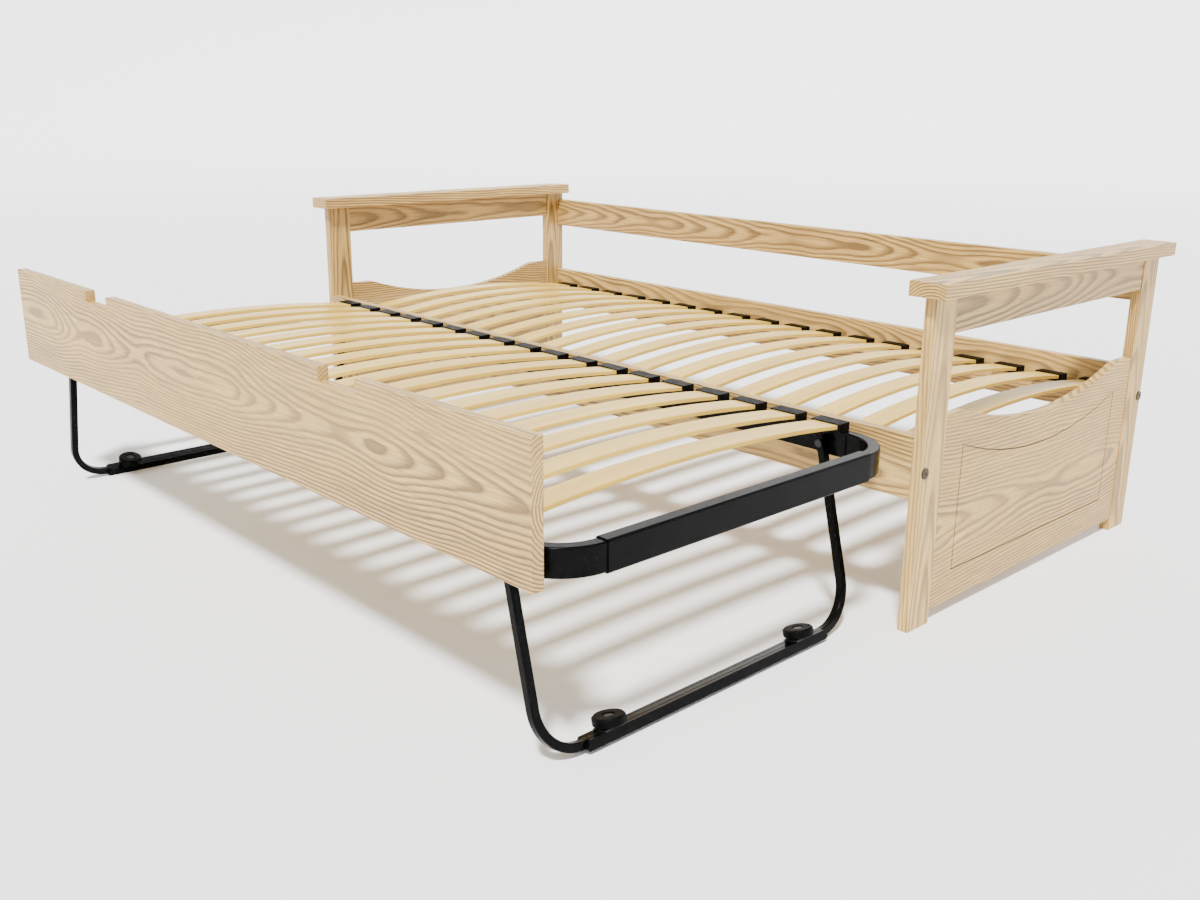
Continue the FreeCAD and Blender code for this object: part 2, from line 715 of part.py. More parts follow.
def trundle_board():
    """The board along the trundle's front, with two hand notches in its top edge."""
    body = new_body("trundle_board")
    sketch = new_sketch(body, "XZ_Plane", "outline")
    half, top, low = "board_length / 2", "board_height", "board_height - notch_depth"
    inner, outer = "notch_centre - notch_width / 2", "notch_centre + notch_width / 2"
    right = [(half, top), (outer, top), (outer, low), (inner, low), (inner, top)]
    left = [(f"-({x})", z) for x, z in reversed(right)]
    polygon(sketch, [(f"-{half}", "0"), (half, "0")] + right + left)
    pad(body, sketch, "board_thick")
    ease_edges(body)
    holes = [(x, "tube_bottom + tube_height / 2 - board_bottom") for x in BOARD_BOLTS]
    bore(body, "XZ_Plane", "0", holes, BOLT_HOLE, "board_thick / 2 + 1", "board_bolt_holes", True)
    place(body, ("0", TRUNDLE_FRONT, "board_bottom"))


def tube_profile(body, plane, name, offset, width, height, radius, wall):
    """A hollow rounded tube section."""
    sketch = new_sketch(body, plane, name, offset)
    rounded_rectangle(sketch, width, height, radius)
    rounded_rectangle(sketch, f"{width} - 2 * {wall}", f"{height} - 2 * {wall}", f"{radius} - {wall} / 2")
    return sketch


def frame_rail(row):
    """A flat tube along the bed that turns a round corner at each end."""
    sign = -1 if row == "front" else 1
    body = new_body(f"trundle_{row}_tube")
    half = "frame_half - tube_thick / 2"
    bend = "frame_corner - tube_thick / 2"
    reach = number(half)
    turn = number(bend)
    leg = number("rail_return - tube_thick / 2")
    path = new_sketch(body, "XY_Plane", "path")
    start = path.addGeometry(Part.LineSegment(vector(-reach, -sign * leg), vector(-reach, -sign * turn)))
    along = path.addGeometry(Part.LineSegment(vector(turn - reach, 0), vector(reach - turn, 0)))
    finish = path.addGeometry(Part.LineSegment(vector(reach, -sign * turn), vector(reach, -sign * leg)))
    low = 0 if sign > 0 else 1.5 * math.pi
    left_circle = Part.Circle(vector(turn - reach, -sign * turn), UP, turn)
    right_circle = Part.Circle(vector(reach - turn, -sign * turn), UP, turn)
    left_low = math.pi / 2 if sign > 0 else math.pi
    left = path.addGeometry(Part.ArcOfCircle(left_circle, left_low, left_low + math.pi / 2))
    right = path.addGeometry(Part.ArcOfCircle(right_circle, low, low + math.pi / 2))
    left_ends = right_ends = (2, 1) if sign > 0 else (1, 2)
    constrain(path, "Tangent", start, 2, left, left_ends[0])
    constrain(path, "Tangent", left, left_ends[1], along, 1)
    constrain(path, "Tangent", along, 2, right, right_ends[0])
    constrain(path, "Tangent", right, right_ends[1], finish, 1)
    constrain(path, "Horizontal", along)
    constrain(path, "Vertical", start)
    constrain(path, "Vertical", finish)
    constrain(path, "PointOnObject", along, 1, -1)
    constrain(path, "Equal", left, right)
    constrain(path, "Radius", left, size=bend)
    constrain(path, "DistanceX", -1, 1, finish, 2, size=half)
    constrain(path, "DistanceX", start, 1, -1, 1, size=half)
    for line, end in ((start, 1), (finish, 2)):
        if sign > 0:
            constrain(path, "DistanceY", line, end, -1, 1, size="rail_return - tube_thick / 2")
        else:
            constrain(path, "DistanceY", -1, 1, line, end, size="rail_return - tube_thick / 2")
    start_offset = f"{sign} * (rail_return - tube_thick / 2)"
    profile = tube_profile(body, "XZ_Plane", "section", start_offset, "tube_thick", "tube_height",
                           "tube_round", "tube_wall")
    bind(profile, "AttachmentOffset.Base.x", f"-({half})")
    sweep(body, profile, path)
    if row == "front":
        holes = [(x, "0") for x in BOARD_BOLTS]
        bore(body, "XZ_Plane", "tube_thick", holes, BOLT_HOLE, "2 * tube_thick", "board_bolt_holes")
    y = f"{TRUNDLE_FRONT} + tube_thick / 2" if row == "front" else f"{TRUNDLE_BACK} - tube_thick / 2"
    place(body, ("0", y, "tube_bottom + tube_height / 2"))


def sweep(body, profile, path):
    """Sweep a section along a flat path, keeping it upright."""
    feature = body.newObject("PartDesign::AdditivePipe", f"{body.Name}_sweep")
    feature.Profile = profile
    document.recompute()
    feature.Spine = (path, [f"Edge{index}" for index in range(1, len(path.Geometry) + 1)])
    feature.Mode = "Standard"
    return feature


def end_bar(side):
    """The sleeve across each end of the trundle that joins the front and back tubes."""
    sign = SIDES[side]
    body = new_body(f"trundle_end_bar_{side}")
    width = "tube_thick + 2 * sleeve_wall + 0.4"
    height = "tube_height + 2 * sleeve_wall + 0.4"
    corner = "tube_round + sleeve_wall / 2"
    sketch = tube_profile(body, "XZ_Plane", "section", "0", width, height, corner, "sleeve_wall")
    pad(body, sketch, "trundle_depth - 2 * sleeve_start", midplane=True)
    place(body, (f"{sign} * (frame_half - tube_thick / 2)", TRUNDLE_MIDDLE, "tube_bottom + tube_height / 2"))


def board_bolts():
    """Bolts through the front tube into the back of the board."""
    bolts = []
    for index, x in enumerate(BOARD_BOLTS):
        base = (x, f"{TRUNDLE_FRONT} + tube_thick", "tube_bottom + tube_height / 2")
        head = cylinder(f"board_bolt_head_{index}", "2 * bolt_shank", "bolt_shank / 2", base, "y")
        reach = "tube_thick + board_thick / 2"
        shank = cylinder(f"board_bolt_shank_{index}", "bolt_shank", reach, base, "-y")
        bolts.append(fuse(f"board_bolt_{index}", [head, shank]))
    group("board_bolts", bolts)


def trundle_slats():
    clear = "trundle_depth"
    chord = f"{clear} - 2 * slat_inset"
    slats("trundle_slats", "trundle_slat_pitch", "trundle_slat_bow", f"{TRUNDLE_FRONT} + slat_inset", chord,
          f"{TUBE_TOP} + slat_floor + slat_inset * {slope_of('trundle_slat_bow', chord)}")
    for row, edge, inward in (("front", TRUNDLE_FRONT, 1), ("back", TRUNDLE_BACK, -1)):
        slat_caps(f"trundle_slat_caps_{row}", "trundle_slat_pitch", "trundle_slat_bow", chord, edge, TUBE_TOP,
                  inward)


def hinge_brackets(side):
    """A plate inside each tube that the leg's pin passes through."""
    sign = SIDES[side]
    inner_faces = {
        "front": f"{TRUNDLE_FRONT} + tube_thick",
        "back": f"{TRUNDLE_BACK} - tube_thick - bracket_thick",
    }
    for row, inner in inner_faces.items():
        body = plank(f"hinge_bracket_{row}_{side}", "bracket_width", "bracket_thick", "tube_height",
                     (f"{sign} * pivot_x - bracket_width / 2 + {sign} * 12", inner, "tube_bottom"))
        bore(body, "XZ_Plane", "0", [(f"bracket_width / 2 - {sign} * 12", "pivot_height - tube_bottom")],
             "pin + pin_clearance", "bracket_thick", "pin_hole")


def pivot_pins(side):
    """The pins that the legs turn on."""
    sign = SIDES[side]
    pins = []
    for row, way in (("front", -1), ("back", 1)):
        rail = f"{TRUNDLE_FRONT} + tube_thick" if row == "front" else f"{TRUNDLE_BACK} - tube_thick"
        inner = f"{TRUNDLE_MIDDLE} + {way} * (arm_half - leg_tube / 2 - 1)"
        length = f"{way} * (({rail}) - ({inner}))"
        axis = "y" if way > 0 else "-y"
        base = (f"{sign} * pivot_x", inner, "pivot_height")
        shank = cylinder(f"pin_shank_{row}_{side}", "pin", length, base, axis)
        head_base = (base[0], f"{inner} - {way} * pin_head_thick", base[2])
        head = cylinder(f"pin_head_{row}_{side}", "pin_head", "pin_head_thick", head_base, axis)
        pins.append(fuse(f"pivot_pin_{row}_{side}", [shank, head]))
    group(f"pivot_pins_{side}", pins)


# ---------------------------------------------------------------- folding legs

LEG_LENGTH = "((pivot_height - foot_width / 2 * sin(leg_splay)) / cos(leg_splay))"


def stand_on_pivot(item, side):
    """Lean a leg piece, drawn about its pivot, outwards by the splay."""
    sign = SIDES[side]
    item.Placement = FreeCAD.Placement(FreeCAD.Vector(), FreeCAD.Rotation(FreeCAD.Vector(0, 1, 0), 1))
    bind(item, "Placement.Rotation.Angle", f"{sign} * -leg_splay")
    place(item, (f"{sign} * pivot_x", TRUNDLE_MIDDLE, "pivot_height"))


def leg_frame(side):
    """A square tube bent into a U, open towards the pivot."""
    body = new_body(f"leg_tube_{side}")
    foot = f"-({LEG_LENGTH}) + foot_wall + leg_tube / 2"
    half, bend, low, high = number("arm_half"), number("leg_bend"), number(foot), number("arm_end")
    path = new_sketch(body, "YZ_Plane", "path")
    front = path.addGeometry(Part.LineSegment(vector(-half, high), vector(-half, low + bend)))
    front_circle = Part.Circle(vector(bend - half, low + bend), UP, bend)
    front_bend = path.addGeometry(Part.ArcOfCircle(front_circle, math.pi, 1.5 * math.pi))
    bottom = path.addGeometry(Part.LineSegment(vector(bend - half, low), vector(half - bend, low)))
    back_circle = Part.Circle(vector(half - bend, low + bend), UP, bend)
    back_bend = path.addGeometry(Part.ArcOfCircle(back_circle, 1.5 * math.pi, 2 * math.pi))
    back = path.addGeometry(Part.LineSegment(vector(half, low + bend), vector(half, high)))
    constrain(path, "Tangent", front, 2, front_bend, 1)
    constrain(path, "Tangent", front_bend, 2, bottom, 1)
    constrain(path, "Tangent", bottom, 2, back_bend, 1)
    constrain(path, "Tangent", back_bend, 2, back, 1)
    constrain(path, "Horizontal", bottom)
    constrain(path, "Vertical", front)
    constrain(path, "Vertical", back)
    constrain(path, "Equal", front_bend, back_bend)
    constrain(path, "Radius", front_bend, size="leg_bend")
    constrain(path, "DistanceX", -1, 1, back, 2, size="arm_half")
    constrain(path, "DistanceX", front, 1, -1, 1, size="arm_half")
    constrain(path, "DistanceY", -1, 1, back, 2, size="arm_end")
    constrain(path, "DistanceY", -1, 1, front, 1, size="arm_end")
    constrain(path, "DistanceY", bottom, 1, -1, 1, size=f"{LEG_LENGTH} - foot_wall - leg_tube / 2")
    section = new_sketch(body, "XY_Plane", "section", "arm_end")
    bind(section, "AttachmentOffset.Base.y", "-arm_half")
    rounded_rectangle(section, "leg_tube", "leg_tube", "leg_round")
    hollow = "leg_tube - 2 * leg_wall"
    rounded_rectangle(section, hollow, hollow, "leg_round - leg_wall / 2")
    sweep(body, section, path)
    hole = new_sketch(body, "XZ_Plane", "pin_hole_circle", "0")
    circles(hole, "pin + pin_clearance", [("0", "0")])
    pocket(body, hole, "2 * arm_half + 2 * leg_tube", "pin_holes", midplane=True)
    stand_on_pivot(body, side)


def foot_channel(side):
    """The U-shaped strip that the leg's bottom bar lies in, with chamfered ends."""
    body = new_body(f"foot_channel_{side}")
    base = new_sketch(body, "YZ_Plane", "side", "-foot_width / 2")
    top = f"-({LEG_LENGTH}) + foot_height"
    polygon(base, [
        ("-foot_half", f"-({LEG_LENGTH})"), ("foot_half", f"-({LEG_LENGTH})"),
        ("foot_half + foot_chamfer / 2", f"-({LEG_LENGTH}) + foot_chamfer / 2"),
        ("foot_half - foot_chamfer / 2", top), ("-foot_half + foot_chamfer / 2", top),
        ("-foot_half - foot_chamfer / 2", f"-({LEG_LENGTH}) + foot_chamfer / 2"),
    ])
    pad(body, base, "foot_width")
    groove = new_sketch(body, "XZ_Plane", "groove", "-foot_half - foot_chamfer")
    wide, deep = "leg_tube + 0.6", "foot_height - foot_wall"
    rectangle(groove, wide, f"{deep} + 1", f"-({wide}) / 2", f"-({LEG_LENGTH}) + foot_wall")
    pocket(body, groove, "2 * foot_half + 2 * foot_chamfer", "groove", backwards=True)
    stand_on_pivot(body, side)


WHEELS = {"front": -1, "back": 1}


def wheel_place(side, row):
    """The wheel's centre on its plate, about the leg's pivot."""
    return ("0", f"{WHEELS[row]} * wheel_spread", f"-({LEG_LENGTH}) + foot_height")


def axle_and_plate(side, row):
    """A plate across the foot channel with a headed stud for one wheel."""
    name = f"{row}_{side}"
    x, y, base = wheel_place(side, row)
    plate = document.addObject("Part::Box", f"axle_plate_{name}")
    bind(plate, "Length", "foot_width")
    bind(plate, "Width", "axle_plate_length")
    bind(plate, "Height", "axle_plate")
    place(plate, ("-foot_width / 2", f"{y} - axle_plate_length / 2", base))
    post_height = "axle_plate + wheel_lift + wheel_thick - wheel_sink_depth + 0.6"
    stud = cylinder(f"axle_stud_{name}", "axle", post_height, (x, y, base), "z")
    washer = cylinder(f"axle_washer_{name}", "axle_head", "axle_plate + wheel_lift - 0.4", (x, y, base), "z")
    head_base = (x, y, f"{base} + {post_height}")
    head = cylinder(f"axle_head_{name}", "axle_head", "axle_head_thick", head_base, "z")
    return fuse(f"axle_{name}", [plate, stud, washer, head])


def wheel_axles(side):
    item = group(f"wheel_axles_{side}", [axle_and_plate(side, row) for row in WHEELS])
    stand_on_pivot(item, side)


def wheel(side, row):
    """A solid roller with rounded rims and a sunk centre."""
    body = new_body(f"wheel_{row}_{side}")
    x, y, base = wheel_place(side, row)
    low = f"{base} + axle_plate + wheel_lift"
    profile = new_sketch(body, "XZ_Plane", "profile")
    rim, bore_r, sink = "wheel / 2", "wheel_bore / 2", "wheel_sink / 2"
    top = "wheel_thick"
    sunk = f"{top} - wheel_sink_depth"
    polygon(profile, [
        (bore_r, "0"),
        (f"{rim} - wheel_round", "0"),
        (rim, "wheel_round"),
        (rim, f"{top} - wheel_round"),
        (f"{rim} - wheel_round", top),
        (sink, top),
        (sink, sunk),
        (bore_r, sunk),
    ])
    feature = body.newObject("PartDesign::Revolution", f"{body.Name}_turned")
    feature.Profile = profile
    feature.ReferenceAxis = (profile, ["V_Axis"])
    feature.Angle = 360
    return body, (x, y, low)


def stand_wheel(body, spot, side):
    """Set a wheel on its leaning leg."""
    sign = SIDES[side]
    x, y, low = spot
    body.Placement = FreeCAD.Placement(FreeCAD.Vector(), FreeCAD.Rotation(FreeCAD.Vector(0, 1, 0), 1))
    bind(body, "Placement.Rotation.Angle", f"{sign} * -leg_splay")
    along = (f"({x}) * cos(leg_splay)", f"({x}) * {sign} * sin(leg_splay)")
    up = (f"({low}) * {sign} * -sin(leg_splay)", f"({low}) * cos(leg_splay)")
    place(body, (f"{sign} * pivot_x + {along[0]} + {up[0]}", f"{TRUNDLE_MIDDLE} + {y}",
                 f"pivot_height + {along[1]} + {up[1]}"))


def trundle():
    trundle_board()
    frame_rail("front")
    frame_rail("back")
    board_bolts()
    trundle_slats()
    for side in SIDES:
        end_bar(side)
        hinge_brackets(side)
        pivot_pins(side)
        leg_frame(side)
        foot_channel(side)
        wheel_axles(side)
        for row in WHEELS:
            body, spot = wheel(side, row)
            stand_wheel(body, spot, side)


def check_document():
    """Stop if anything failed to build or a cut took nothing away."""
    document.recompute()
    failed = [item.Label for item in document.Objects if {"Invalid", "Error"} & set(item.State)]
    if failed:
        raise SystemExit(f"not built: {failed}")
    for item in document.Objects:
        if item.TypeId == "PartDesign::Pocket" and item.Shape.Volume > item.BaseFeature.Shape.Volume - 1:
            raise SystemExit(f"{item.Label} cuts nothing")
    for item in parts:
        if item.Shape.isNull() or not item.Shape.isValid():
            raise SystemExit(f"{item.Label} is not a valid shape")


def export():
    os.makedirs("parts", exist_ok=True)
    for item in parts:
        item.Shape.exportStep(f"parts/{item.Label}.step")
        print(f"{item.Label}: {len(item.Shape.Solids)} solids")


day_bed()
trundle()
check_document()
export()
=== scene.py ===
import math

import bpy
from mathutils import Matrix, Vector


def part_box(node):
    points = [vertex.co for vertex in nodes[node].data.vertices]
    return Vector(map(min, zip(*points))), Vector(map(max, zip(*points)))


# Looks for the trundle bed. Everything is in metres, in the CAD part's own frame:
# X along the bed, Y from the trundle's board towards the back rail, Z up.

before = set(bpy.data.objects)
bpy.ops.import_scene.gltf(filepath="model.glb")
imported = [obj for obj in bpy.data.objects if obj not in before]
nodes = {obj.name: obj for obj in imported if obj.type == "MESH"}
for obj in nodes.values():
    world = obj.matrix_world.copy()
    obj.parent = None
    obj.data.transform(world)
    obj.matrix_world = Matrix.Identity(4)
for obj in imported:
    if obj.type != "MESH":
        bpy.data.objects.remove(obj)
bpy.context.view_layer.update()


# ------------------------------------------------------------------ node helpers

class Shader:
    """A material under construction, with short ways to add and join its nodes."""

    def __init__(self, name):
        self.material = bpy.data.materials.new(name)
        self.material.use_nodes = True
        self.tree = self.material.node_tree
        self.surface = self.tree.nodes["Principled BSDF"]
        self.position = self.node("ShaderNodeTexCoord").outputs["Object"]

    def node(self, kind, **settings):
        made = self.tree.nodes.new(kind)
        for key, value in settings.items():
            setattr(made, key, value)
        return made

    def feed(self, socket, value):
        """Join an output to a socket, or set the socket to a plain value."""
        if isinstance(value, bpy.types.NodeSocket):
            self.tree.links.new(value, socket)
        else:
            socket.default_value = value

    def maths(self, operation, *values):
        made = self.node("ShaderNodeMath", operation=operation)
        for socket, value in zip(made.inputs, values):
            self.feed(socket, value)
        return made.outputs[0]

    def noise(self, vector, scale, detail=2.0, roughness=0.5, distortion=0.0):
        """Noise stretched by a scale for each axis, around 0.5."""
        mapping = self.node("ShaderNodeMapping")
        self.feed(mapping.inputs["Vector"], vector)
        mapping.inputs["Scale"].default_value = scale
        made = self.node("ShaderNodeTexNoise", noise_dimensions="3D")
        self.feed(made.inputs["Vector"], mapping.outputs[0])
        made.inputs["Scale"].default_value = 1.0
        made.inputs["Detail"].default_value = detail
        made.inputs["Roughness"].default_value = roughness
        made.inputs["Distortion"].default_value = distortion
        return made.outputs[0]

    def ramp(self, value, stops, smooth=False):
        """A value looked up in a list of (place, level) stops."""
        made = self.node("ShaderNodeValToRGB")
        made.color_ramp.interpolation = "EASE" if smooth else "LINEAR"
        elements = made.color_ramp.elements
        while len(elements) < len(stops):
            elements.new(0.5)
        for element, (place, level) in zip(elements, stops):
            element.position = place
            element.color = (level, level, level, 1)
        self.feed(made.inputs[0], value)
        return made.outputs[0]

    def blend(self, amount, first, second, mode="MIX"):
        """The first colour, giving way to the second by an amount from 0 to 1."""
        made = self.node("ShaderNodeMix", data_type="RGBA", blend_type=mode)
        self.feed(made.inputs["Factor"], amount)
        for socket, value in (("A", first), ("B", second)):
            target = [item for item in made.inputs if item.name == socket and item.type == "RGBA"][0]
            self.feed(target, (*value, 1) if isinstance(value, tuple) else value)
        return [item for item in made.outputs if item.type == "RGBA"][0]

    def bump(self, height, distance, strength):
        """A normal from a height pattern, over a distance in metres."""
        made = self.node("ShaderNodeBump")
        self.feed(made.inputs["Height"], height)
        made.inputs["Distance"].default_value = distance
        made.inputs["Strength"].default_value = strength
        return made.outputs[0]

    def finish(self, colour, roughness, normal=None, **values):
        """Join up the surface. Other inputs are named with _ for a space."""
        self.feed(self.surface.inputs["Base Color"], colour)
        self.feed(self.surface.inputs["Roughness"], roughness)
        if normal is not None:
            self.feed(self.surface.inputs["Normal"], normal)
        for name, value in values.items():
            self.surface.inputs[name.replace("_", " ")].default_value = value
        return self.material


# ------------------------------------------------------------------ materials

PINE_PALE = (0.71, 0.455, 0.140)
PINE_TAN = (0.52, 0.310, 0.080)
PINE_LATE = (0.105, 0.046, 0.008)
PINE_STREAK = (0.035, 0.015, 0.003)
# painted shade: the dark brown laid into the end panels' routed grooves, where shade falls
GROOVE_PAINTED_SHADE = (0.035, 0.017, 0.005)
SLAT_PALE = (0.78, 0.51, 0.070)
SLAT_TAN = (0.62, 0.38, 0.045)
SLAT_GRAIN = (0.26, 0.145, 0.035)
SLAT_FLECK = (0.30, 0.13, 0.04)
PAINT_BLACK = (0.001, 0.001, 0.0011)
PAINT_DUST = (0.003, 0.003, 0.0032)
FLOOR_TONES = (0.93, 0.93, 0.935), (0.95, 0.95, 0.95)

AXES = {"X": 0, "Y": 1, "Z": 2}
TAPER = 0.035  # how fast the log's rings widen along the board
SEED_STEP = 1.37  # metres along the log between the boards' cuts
# one growth ring from its start: (place, darkness), pale early wood and then dark late wood
RING = [(0.0, 0.45), (0.12, 0.04), (0.42, 0.10), (0.74, 0.85), (0.92, 1.0), (1.0, 0.45)]


def pine(name, axes, centre, pith, seed, ring, warp, painted_shade_box=None):
    """Figured pine cut from a log whose heart runs along the board.

    axes names the board's length, width and thickness in the row frame. centre is the board's
    middle. pith is where the log's heart lies from that middle, across the width and thickness.
    ring is the width of a growth ring, and warp how far the rings wander, both in metres. The last
    argument is the box, as its middle and half sizes, of the routed groove, where painted shade darkens
    the wood.
    """
    shader = Shader(name)
    split = shader.node("ShaderNodeSeparateXYZ")
    shader.feed(split.inputs[0], shader.position)
    along, across, deep = (split.outputs[AXES[axis]] for axis in axes)
    middle = [centre[AXES[axis]] for axis in axes]
    along = shader.maths("ADD", along, seed * SEED_STEP - middle[0])
    across = shader.maths("SUBTRACT", across, middle[1] + pith[0])
    deep = shader.maths("SUBTRACT", deep, middle[2] + pith[1])
    wood = shader.node("ShaderNodeCombineXYZ")
    for socket, value in zip(wood.inputs, (along, across, deep)):
        shader.feed(socket, value)
    wood = wood.outputs[0]

    # growth rings: distance from a heart that wanders and tapers along the board
    swell = shader.noise(wood, (2.3, 3.0, 3.0), detail=1.5, roughness=0.45)
    ripple = shader.noise(wood, (8.0, 30.0, 30.0), detail=2.5)
    across_squared = shader.maths("MULTIPLY", across, across)
    deep_squared = shader.maths("MULTIPLY", deep, deep)
    radius = shader.maths("SQRT", shader.maths("ADD", across_squared, deep_squared))
    radius = shader.maths("MULTIPLY_ADD", swell, warp * 2.6, radius)
    radius = shader.maths("MULTIPLY_ADD", ripple, warp * 0.26, radius)
    radius = shader.maths("MULTIPLY_ADD", along, TAPER, radius)
    phase = shader.maths("DIVIDE", radius, ring * 0.86)
    uneven = shader.noise(wood, (0.8, 20.0, 20.0), detail=1.0)
    phase = shader.maths("MULTIPLY_ADD", uneven, 1.6, phase)
    late = shader.ramp(shader.maths("FRACT", phase), RING)
    strength = shader.ramp(shader.noise(wood, (1.3, 12.0, 12.0), detail=1.0), [(0.3, 0.55), (0.7, 1.0)])

    # fibres, pores and streaks of resin, all drawn out along the grain
    fibre = shader.noise(wood, (12.0, 420.0, 420.0), detail=3.0, roughness=0.6)
    pores = shader.ramp(shader.noise(wood, (45.0, 1500.0, 1500.0), detail=1.0), [(0.62, 0.0), (0.74, 1.0)])
    resin = shader.noise(wood, (5.0, 46.0, 46.0), detail=2.0, distortion=0.4)
    streak = shader.ramp(resin, [(0.70, 0.0), (0.80, 1.0)], smooth=True)
    patch = shader.ramp(shader.noise(wood, (1.2, 5.0, 5.0)), [(0.35, 0.0), (0.65, 1.0)], smooth=True)

    colour = shader.blend(shader.maths("MULTIPLY", patch, 0.55), PINE_PALE, PINE_TAN)
    ring_depth = shader.maths("MULTIPLY", strength, 0.92)
    colour = shader.blend(shader.maths("MULTIPLY", late, ring_depth), colour, PINE_LATE)
    colour = shader.blend(shader.maths("MULTIPLY", streak, 0.55), colour, PINE_STREAK)
    colour = shader.blend(shader.maths("MULTIPLY", pores, 0.3), colour, PINE_STREAK)
    shade = shader.ramp(fibre, [(0.3, 0.62), (0.7, 1.15)])
    colour = shader.blend(1.0, colour, shade, "MULTIPLY")
    # painted shade: inside the routed groove the colour gives way to a dark brown that stands in for the
    # groove's shade
    if painted_shade_box:
        groove_shade_mask = 1.0
        for socket, place, half in zip(split.outputs, *painted_shade_box):
            within = shader.maths("COMPARE", socket, place, half)
            groove_shade_mask = shader.maths("MULTIPLY", within, groove_shade_mask)
        colour = shader.blend(groove_shade_mask, colour, GROOVE_PAINTED_SHADE)

    roughness = shader.maths("MULTIPLY_ADD", fibre, 0.16, 0.42)
    relief = shader.maths("MULTIPLY_ADD", late, 0.8, shader.maths("MULTIPLY", fibre, 0.5))
    relief = shader.maths("SUBTRACT", relief, shader.maths("MULTIPLY", pores, 0.5))
    normal = shader.bump(relief, 0.0005, 0.55)
    return shader.finish(colour, roughness, normal, Coat_Weight=0.08, Coat_Roughness=0.35)


def slat_wood(name, seed):
    """Pale bent laminate: straight fine grain along Y, a little different on every slat."""
    shader = Shader(name)
    shifted = shader.node("ShaderNodeVectorMath", operation="ADD")
    shader.feed(shifted.inputs[0], shader.position)
    shifted.inputs[1].default_value = (seed, seed * 0.7, 0)
    wood = shifted.outputs[0]
    grain = shader.noise(wood, (260.0, 3.0, 90.0), detail=3.0, roughness=0.55)
    broad = shader.noise(wood, (24.0, 1.1, 6.0))
    flecks = shader.ramp(shader.noise(wood, (900.0, 40.0, 600.0), detail=1.0), [(0.66, 0.0), (0.8, 1.0)])
    plies = shader.noise(wood, (6.0, 2.0, 900.0), detail=1.0)
    colour = shader.blend(shader.ramp(broad, [(0.3, 0.0), (0.7, 0.8)], smooth=True), SLAT_PALE, SLAT_TAN)
    colour = shader.blend(shader.ramp(grain, [(0.4, 0.0), (0.72, 0.34)]), colour, SLAT_GRAIN)
    colour = shader.blend(shader.maths("MULTIPLY", flecks, 0.2), colour, SLAT_FLECK)
    relief = shader.maths("MULTIPLY_ADD", plies, 0.3, grain)
    roughness = shader.maths("MULTIPLY_ADD", grain, 0.14, 0.34)
    normal = shader.bump(relief, 0.0003, 0.35)
    return shader.finish(colour, roughness, normal, Coat_Weight=0.12, Coat_Roughness=0.3)


def black_paint(name):
    """Gloss black powder coat: a deep even black with a faint orange peel and a little dust."""
    shader = Shader(name)
    peel = shader.noise(shader.position, (260.0, 260.0, 260.0))
    dust = shader.noise(shader.position, (12.0, 12.0, 12.0), detail=4.0, roughness=0.65)
    colour = shader.blend(shader.ramp(dust, [(0.35, 0.0), (0.8, 1.0)]), PAINT_BLACK, PAINT_DUST)
    roughness = shader.maths("MULTIPLY_ADD", dust, 0.16, 0.14)
    return shader.finish(colour, roughness, shader.bump(peel, 0.0004, 0.25), Specular_IOR_Level=0.05)


def black_plastic(name, roughness, grain, level):
    """Moulded plastic with a fine spark-eroded grain; level is how black it is."""
    shader = Shader(name)
    skin = shader.noise(shader.position, (grain, grain, grain), detail=3.0, roughness=0.7)
    scuff = shader.noise(shader.position, (35.0, 35.0, 35.0), detail=4.0, roughness=0.7)
    worn = level * 2.2
    scuffed = shader.ramp(scuff, [(0.4, 0.0), (0.8, 1.0)])
    colour = shader.blend(scuffed, (level, level, level * 1.05), (worn, worn, worn))
    rough = shader.maths("MULTIPLY_ADD", scuff, 0.2, roughness - 0.1)
    return shader.finish(colour, rough, shader.bump(skin, 0.0003, 0.35), Specular_IOR_Level=0.05)


def metal(name, colour, worn, roughness, metallic):
    """Plated or bronzed steel, a little uneven and rubbed."""
    shader = Shader(name)
    mottle = shader.noise(shader.position, (90.0, 90.0, 90.0), detail=4.0, roughness=0.6)
    scratch = shader.noise(shader.position, (30.0, 700.0, 700.0))
    mix = shader.blend(shader.ramp(mottle, [(0.4, 0.0), (0.75, 1.0)]), colour, worn)
    rough = shader.maths("MULTIPLY_ADD", mottle, 0.22, roughness - 0.1)
    return shader.finish(mix, rough, shader.bump(scratch, 0.0002, 0.3), Metallic=metallic)


# ------------------------------------------------------------------ which node is made of what

def middle_of(name):
    low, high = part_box(name)
    return [(a + b) / 2 for a, b in zip(low, high)]


